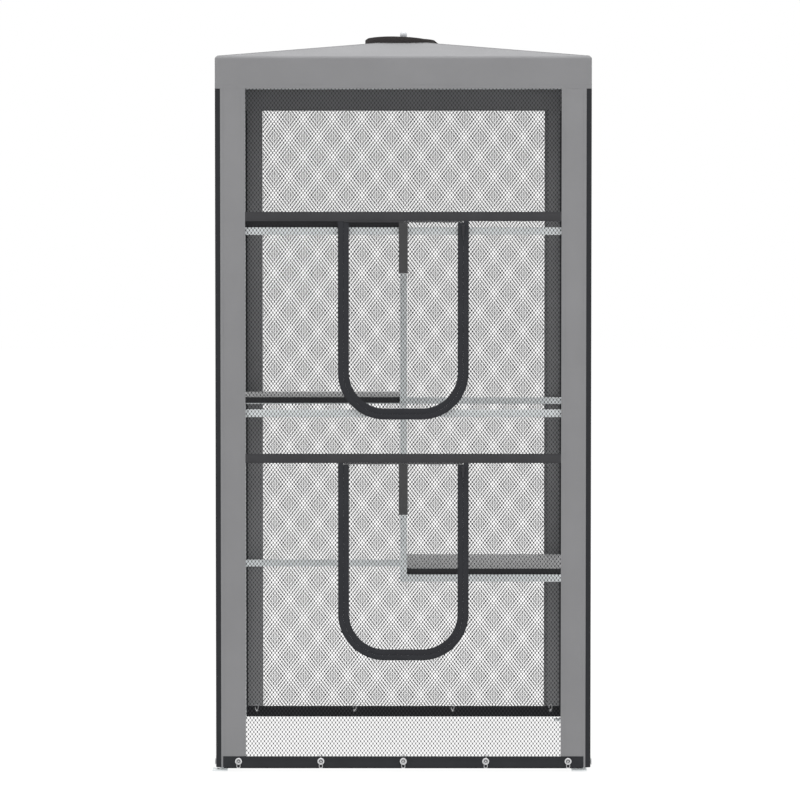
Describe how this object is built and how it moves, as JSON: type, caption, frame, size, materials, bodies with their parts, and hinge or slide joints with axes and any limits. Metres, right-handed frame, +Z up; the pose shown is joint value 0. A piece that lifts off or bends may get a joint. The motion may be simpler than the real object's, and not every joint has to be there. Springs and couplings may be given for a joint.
{
  "type": "cat playpen",
  "caption": "Tall square net tent for cats on a tube frame, with shelves inside, zipped doors in the front, a shallow pyramid roof, and hooks along the bottom hem.",
  "frame": {"origin": "on the ground under the middle of the tent", "axes": "+X to the right seen from the front, +Y from the front to the back, +Z up"},
  "size_m": [1.0146, 1.0096, 2.0122],
  "materials": {
    "tube_steel": "light grey powder coat on square steel tube",
    "joint_plastic": "light grey moulded nylon",
    "finial_plastic": "smooth silver-white ball",
    "shelf_board": "board with a grey felt top and dark edges",
    "grey_cloth": "grey coated oxford weave",
    "dark_webbing": "dark grey ribbed webbing",
    "netting": "dark knitted six-sided netting",
    "zip_tape": "dark woven zip tape with a coil",
    "bright_metal": "bright nickel plate",
    "dark_metal": "dark painted zinc"
  },
  "bodies": {
    "tent": {"back_columns": "grey_cloth", "back_left_leg": "tube_steel", "back_net": "netting", "back_right_leg": "tube_steel", "bottom_hems": "dark_webbing", "centre_beams": "tube_steel", "centre_post": "tube_steel", "corner_bindings": "dark_webbing", "eave_corner_joints": "joint_plastic", "eave_rails": "tube_steel", "eyelets": "bright_metal", "feet": "joint_plastic", "finial": "finial_plastic", "front_bottom_net": "netting", "front_columns": "grey_cloth", "front_left_leg": "tube_steel", "front_middle_net": "netting", "front_right_leg": "tube_steel", "front_top_net": "netting", "left_net": "netting", "leg_joints": "joint_plastic", "lower_back_rail": "tube_steel", "lower_cross_beam": "tube_steel", "lower_door_band": "dark_webbing", "lower_frame_tape": "zip_tape", "lower_shelf": "shelf_board", "lower_side_rails": "tube_steel", "middle_back_rail": "tube_steel", "middle_front_rail": "tube_steel", "middle_shelf": "shelf_board", "middle_side_rails": "tube_steel", "post_joints": "joint_plastic", "rail_tees": "joint_plastic", "right_net": "netting", "roof_gores": "grey_cloth", "roof_hub": "joint_plastic", "roof_rafters": "tube_steel", "roof_skirt": "grey_cloth", "upper_door_band": "dark_webbing", "upper_frame_tape": "zip_tape", "upper_front_rail": "tube_steel", "upper_shelf": "shelf_board", "upper_side_rails": "tube_steel"},
    "upper_door": {"upper_door": "netting", "upper_door_tape": "zip_tape"},
    "upper_strap": {"upper_tie_strap": "dark_webbing"},
    "upper_slider": {"upper_zip_slider": "dark_metal"},
    "upper_pull": {"upper_zip_pull": "dark_metal"},
    "lower_door": {"lower_door": "netting", "lower_door_tape": "zip_tape"},
    "lower_strap": {"lower_tie_strap": "dark_webbing"},
    "lower_slider": {"lower_zip_slider": "dark_metal"},
    "lower_pull": {"lower_zip_pull": "dark_metal"},
    "roof_loop": {"roof_loop": "dark_webbing"},
    "front_hooks": {"front_hooks": "bright_metal"},
    "right_hooks": {"right_hooks": "bright_metal"},
    "back_hooks": {"back_hooks": "bright_metal"},
    "left_hooks": {"left_hooks": "bright_metal"}
  },
  "joints": [
    {"name": "upper_door_swing", "type": "hinge", "parent": "tent", "child": "upper_door", "pos_m": [0, -0.4992, 1.4662], "axis": [-1, 0, 0], "range_deg": [0, 110]},
    {"name": "upper_strap_swing", "type": "hinge", "parent": "upper_door", "child": "upper_strap", "pos_m": [0, -0.5005, 1.4617], "axis": [-1, 0, 0], "range_deg": [0, 45]},
    {"name": "upper_zip_slide", "type": "slide", "parent": "upper_door", "child": "upper_slider", "axis": [0, 0, -1], "range_m": [0, 0.37]},
    {"name": "upper_pull_swing", "type": "hinge", "parent": "upper_slider", "child": "upper_pull", "pos_m": [0.15925, -0.5036, 1.456], "axis": [-1, 0, 0], "range_deg": [0, 65]},
    {"name": "lower_door_swing", "type": "hinge", "parent": "tent", "child": "lower_door", "pos_m": [0, -0.4992, 0.8232], "axis": [-1, 0, 0], "range_deg": [0, 110]},
    {"name": "lower_strap_swing", "type": "hinge", "parent": "lower_door", "child": "lower_strap", "pos_m": [0, -0.5005, 0.8187], "axis": [-1, 0, 0], "range_deg": [0, 45]},
    {"name": "lower_zip_slide", "type": "slide", "parent": "lower_door", "child": "lower_slider", "axis": [0, 0, -1], "range_m": [0, 0.37]},
    {"name": "lower_pull_swing", "type": "hinge", "parent": "lower_slider", "child": "lower_pull", "pos_m": [0.15925, -0.5036, 0.813], "axis": [-1, 0, 0], "range_deg": [0, 65]},
    {"name": "roof_loop_lift", "type": "hinge", "parent": "tent", "child": "roof_loop", "pos_m": [0.1075, 0, 1.96888], "axis": [0, 1, 0], "range_deg": [0, 80]},
    {"name": "front_hook_swing", "type": "hinge", "parent": "tent", "child": "front_hooks", "pos_m": [0, -0.5, 0.0277], "axis": [-1, 0, 0], "range_deg": [0, 25]},
    {"name": "right_hook_swing", "type": "hinge", "parent": "tent", "child": "right_hooks", "pos_m": [0.5, 0, 0.0277], "axis": [0, -1, 0], "range_deg": [0, 25]},
    {"name": "back_hook_swing", "type": "hinge", "parent": "tent", "child": "back_hooks", "pos_m": [0, 0.5, 0.0277], "axis": [1, 0, 0], "range_deg": [0, 25]},
    {"name": "left_hook_swing", "type": "hinge", "parent": "tent", "child": "left_hooks", "pos_m": [-0.5, 0, 0.0277], "axis": [0, 1, 0], "range_deg": [0, 25]}
  ]
}
